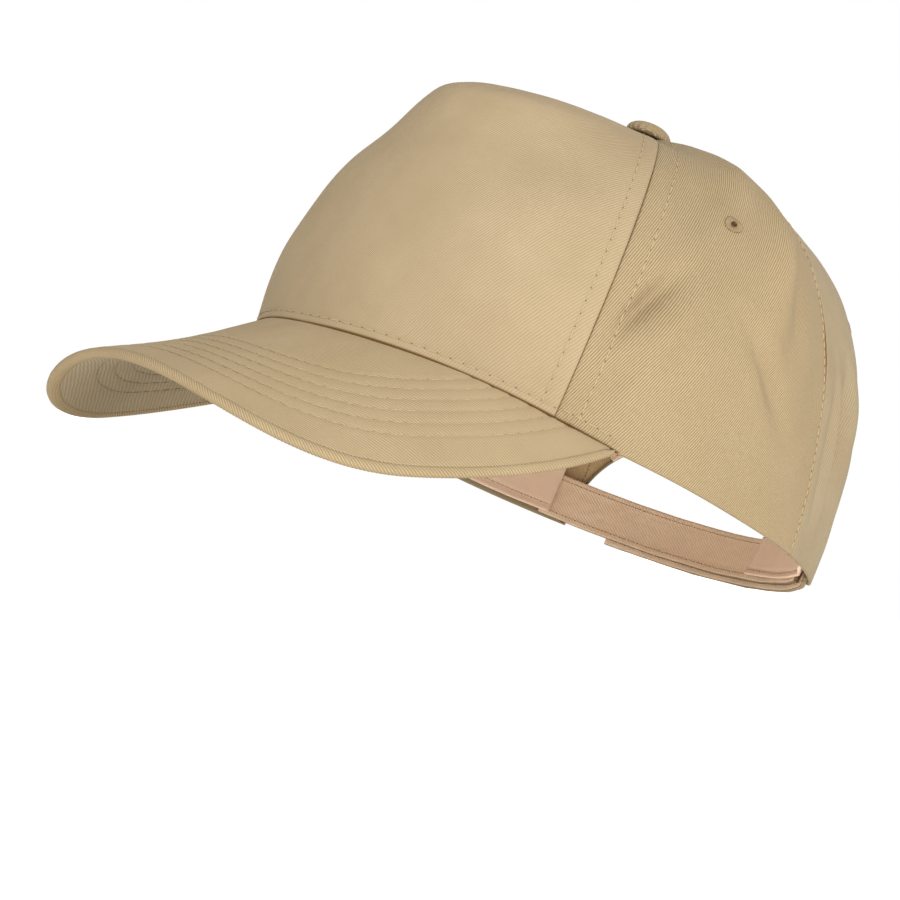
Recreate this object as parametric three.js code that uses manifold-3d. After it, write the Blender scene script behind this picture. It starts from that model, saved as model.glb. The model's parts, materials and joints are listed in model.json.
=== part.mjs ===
// A five-panel peaked cap with a curved peak and a strap that closes over an arched opening at the back.
// Sizes are in millimetres. The cap is shaped with its rim in the plane z = 0, its front towards -Y
// and the wearer's left towards +X. It is then pitched back, so that it stands on a flat surface on
// the two side edges of its peak and the bottom of its back strap.

import * as THREE from 'three';
import { mergeVertices } from 'three/addons/utils/BufferGeometryUtils.js';
import Module from 'manifold-3d';

// Plan of the rim
const rimHalfLength = 100;
const rimHalfWidth = 91;
const rimBackSpread = 0.1; // how much wider the back half is than the front half, as a share
const rimPower = 1.92; // 2 would be a plain ellipse

// Crown
const crownHeight = 110; // at the button, above the rim
const crownTopOffset = -5.4; // the button stands this far in front of the rim's middle
const frontSeamAngle = 57; // angles are in degrees round the head, from the front
const backSeamAngle = 115;
const clothThickness = 1.5;
const seamGap = 0.3; // between neighbouring pieces

// Crown profiles. Each row is the upright curve from the rim to the button in one direction.
// lean and wide place its two control points in and out, as shares of the rim's radius.
// rise and top place them above the rim and above the button, as shares of the crown's height.
const crownProfiles = [
  { angle: 0, lean: -0.1, rise: 0.8, wide: 1.0, top: -0.07 },
  { angle: frontSeamAngle, lean: 0.2, rise: 0.76, wide: 0.39, top: 0.04 },
  { angle: 90, lean: 0.02, rise: 0.68, wide: 0.76, top: 0.03 },
  { angle: backSeamAngle, lean: -0.08, rise: 0.61, wide: 0.75, top: 0.0 },
  { angle: 180, lean: 0.11, rise: 0.79, wide: 0.84, top: -0.04 },
];

// Folds in the soft side and back panels, on the wearer's left for a positive angle.
// height is the place up the profile from 0 to 1, turn leans the fold from upright in degrees,
// length and width are in millimetres, and a negative depth stands out instead of in.
const folds = [
  { angle: 66, height: 0.23, turn: 24, length: 17, width: 6, depth: 2.4 },
  { angle: 72, height: 0.2, turn: 24, length: 20, width: 7, depth: -1.4 },
  { angle: 64, height: 0.08, turn: 30, length: 10, width: 4, depth: 1.3 },
  { angle: 91, height: 0.45, turn: 4, length: 26, width: 7, depth: -1.6 },
  { angle: 98, height: 0.42, turn: 4, length: 24, width: 6, depth: 1.5 },
  { angle: 92, height: 0.21, turn: -55, length: 14, width: 5, depth: 1.3 },
  { angle: 124, height: 0.22, turn: 8, length: 20, width: 5, depth: 1.4 },
  { angle: 131, height: 0.28, turn: -6, length: 22, width: 6, depth: -1.2 },
  { angle: -68, height: 0.26, turn: -20, length: 18, width: 7, depth: 2.0 },
  { angle: -84, height: 0.34, turn: 12, length: 24, width: 8, depth: -1.6 },
  { angle: -97, height: 0.24, turn: 30, length: 16, width: 6, depth: 1.6 },
  { angle: -128, height: 0.25, turn: -8, length: 20, width: 6, depth: 1.5 },
];

// Peak
const peakCornerAngle = 69; // where the peak's outline leaves the rim
const peakReach = 53; // from the rim's front to the peak's front edge
const peakDrop = 0.79; // fall per millimetre forwards, at the crown
const peakLift = 0.0025; // eases that fall towards the front edge
const peakBow = 0.0065; // fall at the sides, per square millimetre from the centre line
const peakSideFlare = { out: 11.3, forward: 34 };
const peakFrontHalfFlat = 88;
const peakThickness = 3.5;
const peakRollWidth = 4.2; // the top cloth is rolled round the edge and this far underneath
const peakLayerGap = 0.35;
const peakTuck = 1.2; // how far the inner edge goes under the crown's wall

// Arched opening and its tape
const archHalfAngle = 36;
const archHeight = 46;
const archPower = 2.5;
const tapeWidth = 7;
const tapeHalfAngleGrowth = 4;
const tapeThickness = 0.9;
const tapeGap = 0.55;
const tapeStart = 30; // degrees along the arch's curve, clear of the sweatband

// Sweatband
const sweatbandTop = 24.5;
const sweatbandBottom = 1;
const sweatbandUnderPeak = 5.4; // the band reaches this much lower under the peak
const sweatbandThickness = 1.4;
const sweatbandEndAngle = 143;
const sweatbandStepIn = 1.5; // room for the strap's sewn end behind the sweatband

// Strap
const strapWidth = 15;
const strapThickness = 1.2;
const strapRootGap = 0.35;
const strapTuckAngle = 135; // where each strap is sewn in
const innerStrapEndAngle = 145.5;
const outerStrapEndAngle = 150;
const innerStrapBottom = 0.5;
const outerStrapBottom = -1.3;

// Button and eyelets
const buttonRadius = 7.3;
const buttonDome = 4.6;
const shankRadius = 2.5;
const topHoleRadius = 2.9;
const eyeletRadius = 3.1;
const eyeletHoleRadius = 0.9;
const eyeletTubeRadius = 1.6;
const eyeletPanelHole = 1.95;
const eyeletRimThickness = 0.6;
const eyeletStandOff = 0.75; // clears the curve of the cloth under the flat ring
const eyelets = [
  { name: 'eyelet_side_left', panel: 'side_panel_left', angle: 77, height: 0.453 },
  { name: 'eyelet_side_right', panel: 'side_panel_right', angle: -77, height: 0.453 },
  { name: 'eyelet_back_left', panel: 'back_panel_left', angle: 146, height: 0.5 },
  { name: 'eyelet_back_right', panel: 'back_panel_right', angle: -146, height: 0.5 },
];

// Colours and finish
const twill = { color: 0xc4a87c, roughness: 0.85, metalness: 0 };
const underTwill = { color: 0xa8946f, roughness: 0.88, metalness: 0 };
const sweatCotton = { color: 0xc9a88e, roughness: 0.9, metalness: 0 };
const strapTwill = { color: 0xb2977a, roughness: 0.88, metalness: 0 };
const thread = { color: 0xb89a6c, roughness: 0.7, metalness: 0 };

const radians = THREE.MathUtils.degToRad;
const smooth = THREE.MathUtils.smoothstep;
const signedPower = (value, power) => Math.sign(value) * Math.abs(value) ** power;

// Rim and peak surface

function rimPoint(angle) {
  const across = Math.sin(radians(angle));
  const along = Math.cos(radians(angle));
  const spread = 1 - rimBackSpread * along;
  return new THREE.Vector2(
    rimHalfWidth * spread * signedPower(across, 2 / rimPower),
    -rimHalfLength * signedPower(along, 2 / rimPower),
  );
}

function peakFall(x, y) {
  const forward = -(y + rimHalfLength);
  return peakDrop * forward - peakLift * forward * Math.abs(forward) + peakBow * x * x;
}

const peakCorner = rimPoint(peakCornerAngle);
const peakCornerFall = peakFall(peakCorner.x, peakCorner.y);

// The peak's top surface, which meets the rim's plane at its two corners
function peakHeight(x, y) {
  return peakCornerFall - peakFall(x, y);
}

function peakNormal(x, y) {
  const step = 0.5;
  const slopeX = (peakHeight(x + step, y) - peakHeight(x - step, y)) / (2 * step);
  const slopeY = (peakHeight(x, y + step) - peakHeight(x, y - step)) / (2 * step);
  return new THREE.Vector3(-slopeX, -slopeY, 1).normalize();
}

// The crown's lower edge rises over the peak and lies in the rim's plane behind the peak's corners
function edgeHeight(x, y) {
  const onPeak = 1 - THREE.MathUtils.smoothstep(y, peakCorner.y, peakCorner.y + 5);
  return Math.max(0, peakHeight(x, y)) * onPeak;
}

// Crown surface

function mirroredRow(row, angle) {
  return { ...row, angle };
}

const profileRows = [
  mirroredRow(crownProfiles[1], -frontSeamAngle),
  ...crownProfiles,
  mirroredRow(crownProfiles[3], 360 - backSeamAngle),
];

// Smooth values between the rows of the profile table
function profileAt(angle) {
  const around = Math.abs(THREE.MathUtils.euclideanModulo(angle + 180, 360) - 180);
  let i = 1;
  while (i < profileRows.length - 3 && around >= profileRows[i + 1].angle) i += 1;
  const [before, from, to, after] = profileRows.slice(i - 1, i + 3);
  const span = to.angle - from.angle;
  const u = (around - from.angle) / span;
  const value = {};
  for (const key of ['lean', 'rise', 'wide', 'top']) {
    const startSlope = ((to[key] - before[key]) / (to.angle - before.angle)) * span;
    const endSlope = ((after[key] - from[key]) / (after.angle - from.angle)) * span;
    value[key] =
      (2 * u ** 3 - 3 * u ** 2 + 1) * from[key] +
      (u ** 3 - 2 * u ** 2 + u) * startSlope +
      (3 * u ** 2 - 2 * u ** 3) * to[key] +
      (u ** 3 - u ** 2) * endSlope;
  }
  return value;
}

function bezier(t, a, b, c, d) {
  const s = 1 - t;
  return s ** 3 * a + 3 * s ** 2 * t * b + 3 * s * t ** 2 * c + t ** 3 * d;
}

function crownPoint(angle, t) {
  const rim = rimPoint(angle);
  const low = edgeHeight(rim.x, rim.y);
  const { lean, rise, wide, top } = profileAt(angle);
  const share = bezier(t, 1, 1 + lean, wide, 0);
  const height = bezier(t, low, low + rise * crownHeight, crownHeight * (1 + top), crownHeight);
  return new THREE.Vector3(rim.x * share, rim.y * share + crownTopOffset * (1 - share), height);
}

function crownNormal(angle, t) {
  const step = 0.01;
  const turn = 0.5;
  const up = crownPoint(angle, Math.min(1, t + step)).sub(crownPoint(angle, Math.max(0, t - step)));
  const round = crownPoint(angle + turn, t).sub(crownPoint(angle - turn, t));
  return round.cross(up).normalize();
}

function foldDepth(angle, t) {
  const at = crownPoint(angle, t);
  const radius = Math.hypot(at.x, at.y);
  let depth = 0;
  for (const fold of folds) {
    const side = radians(angle - fold.angle) * radius;
    const rise = (t - fold.height) * crownHeight * 1.5;
    const lean = radians(fold.turn);
    const across = side * Math.cos(lean) - rise * Math.sin(lean);
    const along = side * Math.sin(lean) + rise * Math.cos(lean);
    depth += fold.depth * Math.exp(-((across / fold.width) ** 2) - (along / fold.length) ** 2);
  }
  return depth * smooth(t, 0, 0.12);
}

// A point in the crown's wall, at a depth below its outer face
function wallPoint(angle, t, depth) {
  const inward = depth + foldDepth(angle, t);
  return crownPoint(angle, t).addScaledVector(crownNormal(angle, t), -inward);
}

// The outer face's direction, folds included
function wallNormal(angle, t) {
  const step = 0.01;
  const turn = 1;
  const up = wallPoint(angle, t + step, 0).sub(wallPoint(angle, t - step, 0));
  const round = wallPoint(angle + turn, t, 0).sub(wallPoint(angle - turn, t, 0));
  return round.cross(up).normalize();
}

// The place up the profile where a rising value reaches what is wanted
function solve(valueAt, wanted) {
  let low = 0;
  let high = 1;
  for (let i = 0; i < 40; i += 1) {
    const middle = (low + high) / 2;
    if (valueAt(middle) < wanted) low = middle;
    else high = middle;
  }
  return (low + high) / 2;
}

function profileAtHeight(angle, height) {
  return solve((t) => crownPoint(angle, t * 0.6).z, height) * 0.6;
}

function profileAtTopHole(angle) {
  const rim = rimPoint(angle);
  const wanted = topHoleRadius / rim.length();
  const share = (t) => crownPoint(angle, t).sub(new THREE.Vector3(0, crownTopOffset, 0));
  return solve((t) => -Math.hypot(share(t).x, share(t).y) / rim.length(), -wanted);
}

// Closed walls

// A wall between an outer and an inner grid of points, closed round its four edges.
// pointAt(i, j, side) gives a point, with side 0 for the outer face and 1 for the inner face.
function wallGeometry(columns, rows, pointAt) {
  const positions = [];
  for (const side of [0, 1]) {
    for (let j = 0; j < rows; j += 1) {
      for (let i = 0; i < columns; i += 1) positions.push(...pointAt(i, j, side).toArray());
    }
  }
  const at = (i, j, side) => (side * rows + j) * columns + i;
  const index = [];
  const quad = (a, b, c, d) => index.push(a, b, c, a, c, d);
  for (let j = 0; j < rows - 1; j += 1) {
    for (let i = 0; i < columns - 1; i += 1) {
      quad(at(i, j, 0), at(i + 1, j, 0), at(i + 1, j + 1, 0), at(i, j + 1, 0));
      quad(at(i, j, 1), at(i, j + 1, 1), at(i + 1, j + 1, 1), at(i + 1, j, 1));
    }
  }
  for (let i = 0; i < columns - 1; i += 1) {
    const last = rows - 1;
    quad(at(i, 0, 1), at(i + 1, 0, 1), at(i + 1, 0, 0), at(i, 0, 0));
    quad(at(i, last, 0), at(i + 1, last, 0), at(i + 1, last, 1), at(i, last, 1));
  }
  for (let j = 0; j < rows - 1; j += 1) {
    const last = columns - 1;
    quad(at(0, j, 0), at(0, j + 1, 0), at(0, j + 1, 1), at(0, j, 1));
    quad(at(last, j, 1), at(last, j + 1, 1), at(last, j + 1, 0), at(last, j, 0));
  }
  const geometry = new THREE.BufferGeometry();
  geometry.setAttribute('position', new THREE.Float32BufferAttribute(positions, 3));
  geometry.setIndex(index);
  geometry.computeVertexNormals();
  return geometry;
}

function namedMesh(name, geometry, finish) {
  const mesh = new THREE.Mesh(geometry, new THREE.MeshStandardMaterial(finish));
  mesh.name = name;
  return mesh;
}

function evenly(from, to, count) {
  return Array.from({ length: count }, (_, i) => from + ((to - from) * i) / (count - 1));
}

// Crown panels

const frontAngles = evenly(-frontSeamAngle, frontSeamAngle, 21);
const sideAngles = evenly(frontSeamAngle, backSeamAngle, 12);
const backAngles = evenly(backSeamAngle, 180 - archHalfAngle, 7);
const archTurns = [13, 26, 39, 51, 62, 71, 79, 85, 90]; // about 5 degrees of the rim apart
const panelRows = 13;

// Places up the profile for a column of a panel. The first three are shared with the sweatband,
// so that the two walls stay parallel.
function bandShares(angle) {
  const rim = rimPoint(angle);
  const top = profileAtHeight(angle, edgeHeight(rim.x, rim.y) + sweatbandTop);
  return [0, top / 2, top];
}

function columnShares({ angle, low }) {
  const top = profileAtTopHole(angle);
  if (low > 0) return evenly(low, top, panelRows);
  const band = bandShares(angle);
  return [...band.slice(0, 2), ...evenly(band[2], top, panelRows - 2)];
}

// One panel between two seams. columns holds each column's angle and its lowest place up the profile.
function panelGeometry(columns) {
  const last = columns.length - 1;
  const shares = columns.map(columnShares);
  return wallGeometry(columns.length, panelRows, (i, j, side) => {
    const { angle } = columns[i];
    const t = shares[i][j];
    const flat = crownPoint(angle, t);
    const radius = Math.hypot(flat.x, flat.y - crownTopOffset);
    const trim = THREE.MathUtils.radToDeg(seamGap / 2 / radius);
    let inset = 0;
    if (i === 0) inset = trim;
    if (i === last) inset = -trim;
    const point = wallPoint(angle + inset, t, side * clothThickness);
    if (t === 0) point.z = edgeHeight(point.x, point.y) + (point.y < 0 ? seamGap : 0);
    return point;
  });
}

function plainColumns(angles) {
  return angles.map((angle) => ({ angle, low: 0 }));
}

// The arch's outline, from its left foot at 0 degrees over the top to its right foot at 180
function archOutline(turn, growth) {
  const across = signedPower(Math.cos(radians(turn)), 2 / archPower);
  const up = Math.sin(radians(turn)) ** (2 / archPower);
  return {
    angle: 180 - (archHalfAngle + growth * tapeHalfAngleGrowth) * across,
    height: (archHeight + growth * tapeWidth) * up,
  };
}

function backColumns() {
  const arched = archTurns.map((turn) => {
    const { angle, height } = archOutline(turn, 0);
    return { angle, low: profileAtHeight(angle, height) };
  });
  return [...plainColumns(backAngles), ...arched];
}

// The same columns on the wearer's right, in order of rising angle
function mirrored(columns) {
  return columns.map(({ angle, low }) => ({ angle: -angle, low })).reverse();
}

function panels() {
  const side = plainColumns(sideAngles);
  const back = backColumns();
  return {
    front_panel: panelGeometry(plainColumns(frontAngles)),
    side_panel_left: panelGeometry(side),
    side_panel_right: panelGeometry(mirrored(side)),
    back_panel_left: panelGeometry(back),
    back_panel_right: panelGeometry(mirrored(back)),
  };
}

// Peak

// The peak's outline in plan. along runs from -1 at the right corner to 1 at the left corner.
function peakEdge(along) {
  const t = 1 - Math.abs(along);
  const front = -(rimHalfLength + peakReach);
  const x = bezier(t, peakCorner.x, peakCorner.x + peakSideFlare.out, peakFrontHalfFlat, 0);
  const y = bezier(t, peakCorner.y, peakCorner.y - peakSideFlare.forward, front, front);
  return new THREE.Vector2(Math.sign(along) * x, y);
}

// The peak's inner edge lies under the crown's wall, against the sweatband
function peakInner(along) {
  const angle = along * peakCornerAngle;
  const rim = rimPoint(angle);
  const normal = crownNormal(angle, 0);
  const inward = new THREE.Vector2(normal.x, normal.y).normalize().multiplyScalar(peakTuck);
  return rim.sub(inward);
}

// inset is the distance in from the edge, or null for the inner edge itself
function peakPoint(along, share, inset, depth) {
  const edge = peakEdge(along);
  const inner = peakInner(along);
  const width = edge.distanceTo(inner);
  const reach = Math.max(inset / width, 0) + share * (1 - Math.min(inset / width, 1));
  const plan = edge.lerp(inner, Math.min(reach, 1));
  const normal = peakNormal(plan.x, plan.y);
  const upright = smooth(reach, 0.7, 1);
  const down = normal.clone().lerp(new THREE.Vector3(0, 0, 1 / normal.z), upright);
  const top = new THREE.Vector3(plan.x, plan.y, peakHeight(plan.x, plan.y) - seamGap);
  return top.addScaledVector(down, -depth);
}

// Rows from the edge inwards: inset is the distance in from the edge, share the place across what
// is left of the width, and top and bottom the depths of the two faces. The rolled edge is the
// full thickness of the peak, and the cloth behind it is one layer with its stiffening.
const peakTopLayer = 1.6;
const peakTopRows = [
  { inset: 0, share: 0, top: 1.1, bottom: 2.4 },
  { inset: 0.6, share: 0, top: 0.3, bottom: 3.2 },
  { inset: 1.6, share: 0, top: 0, bottom: peakThickness },
  { inset: peakRollWidth, share: 0, top: 0, bottom: peakThickness },
  { inset: peakRollWidth + 0.3, share: 0, top: 0, bottom: peakTopLayer },
  { inset: peakRollWidth + 0.3, share: 0.33, top: 0, bottom: peakTopLayer },
  { inset: peakRollWidth + 0.3, share: 0.67, top: 0, bottom: peakTopLayer },
  { inset: peakRollWidth + 0.3, share: 1, top: 0, bottom: peakTopLayer },
];
const peakUnderShares = [0, 0.33, 0.67, 1];
const peakColumns = 29;
const peakEndMargin = 0.012; // keeps the peak's two points clear of the crown's corners

const peakPlaces = evenly(-1 + peakEndMargin, 1 - peakEndMargin, peakColumns);

function peakTop() {
  return wallGeometry(peakColumns, peakTopRows.length, (i, j, side) => {
    const row = peakTopRows[j];
    return peakPoint(peakPlaces[i], row.share, row.inset, side ? row.bottom : row.top);
  });
}

function peakUnder() {
  const places = peakPlaces.slice(1, -1);
  const top = peakTopLayer + peakLayerGap;
  return wallGeometry(places.length, peakUnderShares.length, (i, j, side) => {
    const inset = peakRollWidth + 0.3 + peakLayerGap;
    return peakPoint(places[i], peakUnderShares[j], inset, side ? peakThickness : top);
  });
}

// Sweatband, folded up inside the crown from the peak's underside

function bandDepth(angle) {
  const around = Math.abs(angle);
  const stepIn = sweatbandStepIn * smooth(around, 127, 133);
  return clothThickness + seamGap + stepIn;
}

const bandAngles = [
  -sweatbandEndAngle,
  ...backAngles.slice(0, -1).reverse().map((angle) => -angle),
  ...sideAngles.slice(1, -1).reverse().map((angle) => -angle),
  ...frontAngles,
  ...sideAngles.slice(1, -1),
  ...backAngles.slice(0, -1),
  sweatbandEndAngle,
];

// The band's lower edge reaches under the peak's inner edge and stays inside the rim behind it
function sweatband() {
  const rows = 4;
  return wallGeometry(bandAngles.length, rows, (i, j, side) => {
    const angle = bandAngles[i];
    const depth = bandDepth(angle) + side * sweatbandThickness;
    const [, middle, top] = bandShares(angle);
    const point = wallPoint(angle, [0, 0, middle, top][j], depth);
    const rim = rimPoint(angle);
    const low = edgeHeight(rim.x, rim.y) + sweatbandBottom;
    const underPeak = 1 - smooth(Math.abs(angle), peakCornerAngle - 9, peakCornerAngle + 1);
    if (j === 0) point.z = low - sweatbandUnderPeak * underPeak;
    if (j === 1) point.z = low + 0.8;
    return point;
  });
}

// Strap: the inner layer comes from the wearer's right, the outer layer laps over it from the left

function strap(fromAngle, toAngle, bottom, depthAt) {
  const angles = evenly(fromAngle, toAngle, 22);
  return wallGeometry(angles.length, 3, (i, j, side) => {
    const angle = angles[i];
    const height = bottom + (strapWidth * j) / 2;
    const t = profileAtHeight(angle, Math.max(height, 0.5));
    const point = wallPoint(angle, t, depthAt(i / 21) + side * strapThickness);
    point.z = height;
    return point;
  });
}

const strapRootDepth = clothThickness + strapRootGap;
const strapLap = strapThickness + seamGap;

function innerStrap() {
  const depthAt = (share) => strapRootDepth + strapLap * smooth(1 - share, 0.1, 0.9);
  return strap(innerStrapEndAngle, 360 - strapTuckAngle, innerStrapBottom, depthAt);
}

function outerStrap() {
  const depthAt = (share) => strapRootDepth - strapLap * smooth(share, 0.1, 0.9);
  return strap(strapTuckAngle, 360 - outerStrapEndAngle, outerStrapBottom, depthAt);
}

// Tape along the arch, on the inner face of the back panels

function archTape() {
  const rising = [tapeStart, ...archTurns.filter((turn) => turn > tapeStart)];
  const turns = [...rising, ...rising.slice(0, -1).reverse().map((turn) => 180 - turn)];
  const depth = clothThickness + tapeGap;
  return wallGeometry(turns.length, 2, (i, j, side) => {
    const { angle, height } = archOutline(turns[i], j);
    const t = profileAtHeight(angle, height);
    return wallPoint(angle, t, depth + side * tapeThickness);
  });
}

// Button and eyelets

function button() {
  const base = 0.9;
  const outline = [
    [0, -2.4],
    [shankRadius, -2.4],
    [shankRadius, base],
    [buttonRadius - 0.5, base],
    [buttonRadius, base + 0.8],
    [buttonRadius * 0.93, base + buttonDome * 0.5],
    [buttonRadius * 0.7, base + buttonDome * 0.82],
    [buttonRadius * 0.36, base + buttonDome * 0.97],
    [0, base + buttonDome],
  ];
  const points = outline.map(([r, z]) => new THREE.Vector2(r, z));
  return new THREE.LatheGeometry(points, 20).rotateX(Math.PI / 2);
}

function eyelet() {
  const face = eyeletStandOff;
  const back = -clothThickness - eyeletStandOff;
  const outline = [
    [eyeletHoleRadius, back - eyeletRimThickness],
    [eyeletRadius - 0.6, back - eyeletRimThickness],
    [eyeletRadius - 0.4, back],
    [eyeletTubeRadius, back],
    [eyeletTubeRadius, face],
    [eyeletRadius, face],
    [eyeletRadius - 0.4, face + eyeletRimThickness],
    [eyeletHoleRadius, face + eyeletRimThickness],
  ];
  const points = [...outline, outline[0]].map(([r, z]) => new THREE.Vector2(r, z));
  return new THREE.LatheGeometry(points, 12).rotateX(Math.PI / 2);
}

const upAxis = new THREE.Vector3(0, 0, 1);

function eyeletFrame({ angle, height }) {
  const turn = new THREE.Quaternion().setFromUnitVectors(upAxis, wallNormal(angle, height));
  return new THREE.Matrix4().compose(wallPoint(angle, height, 0), turn, new THREE.Vector3(1, 1, 1));
}

// Solids for cutting

const wasm = await Module();
wasm.setup();

function toSolid(geometry) {
  const bare = geometry.clone();
  bare.deleteAttribute('normal');
  bare.deleteAttribute('uv');
  const merged = mergeVertices(bare, 1e-4);
  return new wasm.Manifold(
    new wasm.Mesh({
      numProp: 3,
      vertProperties: new Float32Array(merged.attributes.position.array),
      triVerts: new Uint32Array(merged.index.array),
    }),
  );
}

function toGeometry(solid) {
  const mesh = solid.getMesh();
  const geometry = new THREE.BufferGeometry();
  geometry.setAttribute('position', new THREE.Float32BufferAttribute(mesh.vertProperties, 3));
  geometry.setIndex(Array.from(mesh.triVerts));
  geometry.computeVertexNormals();
  return geometry;
}

function eyeletCutter(place) {
  const cylinder = new THREE.CylinderGeometry(eyeletPanelHole, eyeletPanelHole, 8, 12);
  return cylinder.rotateX(Math.PI / 2).applyMatrix4(eyeletFrame(place));
}

// Assembly

const cap = new THREE.Group();
const panelGeometries = panels();
for (const place of eyelets) {
  const pierced = toSolid(panelGeometries[place.panel]).subtract(toSolid(eyeletCutter(place)));
  panelGeometries[place.panel] = toGeometry(pierced);
}
for (const [name, geometry] of Object.entries(panelGeometries)) {
  cap.add(namedMesh(name, geometry, twill));
}
cap.add(namedMesh('peak_top', peakTop(), twill));
cap.add(namedMesh('peak_under', peakUnder(), underTwill));
cap.add(namedMesh('sweatband', sweatband(), sweatCotton));
cap.add(namedMesh('arch_tape', archTape(), strapTwill));
cap.add(namedMesh('strap_inner', innerStrap(), strapTwill));
cap.add(namedMesh('strap_outer', outerStrap(), twill));

const topButton = namedMesh('button', button(), twill);
topButton.position.set(0, crownTopOffset, crownHeight);
cap.add(topButton);

for (const place of eyelets) {
  const ring = namedMesh(place.name, eyelet(), thread);
  ring.applyMatrix4(eyeletFrame(place));
  cap.add(ring);
}

// The pitch at which the peak's edges and the back strap stand at one height

function lowest(geometry, pitch) {
  const position = geometry.attributes.position;
  const down = new THREE.Vector3(0, -Math.sin(pitch), Math.cos(pitch));
  let least = Infinity;
  for (let i = 0; i < position.count; i += 1) {
    const point = new THREE.Vector3().fromBufferAttribute(position, i);
    least = Math.min(least, point.dot(down));
  }
  return least;
}

function restPitch() {
  const meshNamed = (name) => cap.getObjectByName(name).geometry;
  const peakAbove = (pitch) => lowest(meshNamed('peak_top'), pitch) - lowest(meshNamed('strap_outer'), pitch);
  return solve((share) => peakAbove(share * radians(30)), 0) * radians(30);
}

cap.rotation.x = -restPitch();

const group = new THREE.Group();
group.add(cap);
group.updateMatrixWorld(true);
const bounds = new THREE.Box3().setFromObject(group, true);
const centre = bounds.getCenter(new THREE.Vector3());
group.position.set(-centre.x, -centre.y, -bounds.min.z);

export default group;
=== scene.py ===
import json
import math

import bmesh
import bpy
import numpy as np
from mathutils import Matrix, Vector, noise


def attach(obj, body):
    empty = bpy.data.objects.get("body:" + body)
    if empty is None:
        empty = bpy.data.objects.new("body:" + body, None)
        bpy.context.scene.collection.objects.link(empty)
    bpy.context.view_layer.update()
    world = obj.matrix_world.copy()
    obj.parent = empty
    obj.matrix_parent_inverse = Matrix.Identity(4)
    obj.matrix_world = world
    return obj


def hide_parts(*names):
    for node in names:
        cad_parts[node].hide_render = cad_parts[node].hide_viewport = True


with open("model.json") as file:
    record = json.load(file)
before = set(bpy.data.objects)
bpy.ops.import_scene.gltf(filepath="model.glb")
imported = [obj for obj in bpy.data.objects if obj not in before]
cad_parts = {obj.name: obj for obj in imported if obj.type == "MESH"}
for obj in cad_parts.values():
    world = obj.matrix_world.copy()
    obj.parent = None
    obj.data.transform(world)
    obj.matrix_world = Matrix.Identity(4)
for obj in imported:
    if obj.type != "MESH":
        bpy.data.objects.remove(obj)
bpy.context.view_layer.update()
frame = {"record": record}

# Where the cap stands. Its pieces are shaped in the cap's own frame, in millimetres, with the rim in the
# plane z = 0 and the front towards -Y. The head opening's mount says where the rim is and how it is pitched.
head_opening = next(m for m in frame["record"]["mounts"] if m["name"] == "head_opening")
out_of_opening = Vector(head_opening["axis"])
rest_pitch = math.atan2(out_of_opening.y, out_of_opening.z) + math.pi
rim_centre = Vector(head_opening["pos_m"])
millimetre = 0.001
pitched = Matrix.Rotation(-rest_pitch, 4, "X")
cap_to_world = Matrix.Translation(rim_centre) @ pitched @ Matrix.Scale(millimetre, 4)


def to_world(points):
    """Points of the cap's own frame, in millimetres, as points of the scene."""
    matrix = np.array(cap_to_world)
    return points @ matrix[:3, :3].T + matrix[:3, 3]


# The photograph's view: level with the floor, from the wearer's front left, with the camera leaning so
# that the cap tilts to the right in the picture. The rim's centre falls right of the picture's middle.
view_azimuth = math.radians(50.42)
view_elevation = math.radians(-1.08)
view_lean = math.radians(14.1)
view_distance = 1.05
picture_size = 900
rim_centre_pixel = (522.3, 461.0)
pixels_per_metre = 3172
sensor_width = 36

towards_camera = Vector((
    math.sin(view_azimuth) * math.cos(view_elevation),
    -math.cos(view_azimuth) * math.cos(view_elevation),
    math.sin(view_elevation),
))
level_right = Vector((math.cos(view_azimuth), math.sin(view_azimuth), 0))
level_up = towards_camera.cross(level_right)
picture_right = math.cos(view_lean) * level_right + math.sin(view_lean) * level_up
picture_up = math.cos(view_lean) * level_up - math.sin(view_lean) * level_right
aim_right = (picture_size / 2 - rim_centre_pixel[0]) / pixels_per_metre
aim_up = (rim_centre_pixel[1] - picture_size / 2) / pixels_per_metre
aim = rim_centre + aim_right * picture_right + aim_up * picture_up

camera_data = bpy.data.cameras.new("camera")
camera_data.sensor_width = sensor_width
camera_data.lens = pixels_per_metre * view_distance * sensor_width / picture_size
camera_data.clip_start = 0.01
camera = bpy.data.objects.new("camera", camera_data)
bpy.context.scene.collection.objects.link(camera)
camera.location = rim_centre + view_distance * towards_camera
backward = (camera.location - aim).normalized()
sideways = (picture_right - picture_right.dot(backward) * backward).normalized()
upward = backward.cross(sideways)
camera.rotation_euler = Matrix((sideways, upward, backward)).transposed().to_euler()
bpy.context.scene.camera = camera

# A photographer's light table in white surroundings: a wide sheet of white acrylic, lit from below, with
# soft light from a diffuser on each side.
floor_radius = 9.0
acrylic_glow = 0.7
bpy.context.scene.view_settings.view_transform = "Standard"


def linear(hex_colour):
    """An sRGB hex value as an opaque linear colour."""
    value = int(hex_colour.lstrip("#"), 16)
    channels = [(value >> shift & 255) / 255 for shift in (16, 8, 0)]
    return [c / 12.92 if c <= 0.04045 else ((c + 0.055) / 1.055) ** 2.4 for c in channels] + [1.0]


def new_material(name, colour, roughness):
    """A material and its shader, with the plain colour and roughness set."""
    material = bpy.data.materials.new(name)
    material.use_nodes = True
    shader = material.node_tree.nodes["Principled BSDF"]
    shader.inputs["Base Color"].default_value = linear(colour)
    shader.inputs["Roughness"].default_value = roughness
    return material, shader


def finished(name, bm, material):
    """A new object at the origin with the mesh, shaded smooth."""
    mesh = bpy.data.meshes.new(name)
    bm.to_mesh(mesh)
    bm.free()
    mesh.shade_smooth()
    piece = bpy.data.objects.new(name, mesh)
    bpy.context.scene.collection.objects.link(piece)
    mesh.materials.append(material)
    return piece


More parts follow.
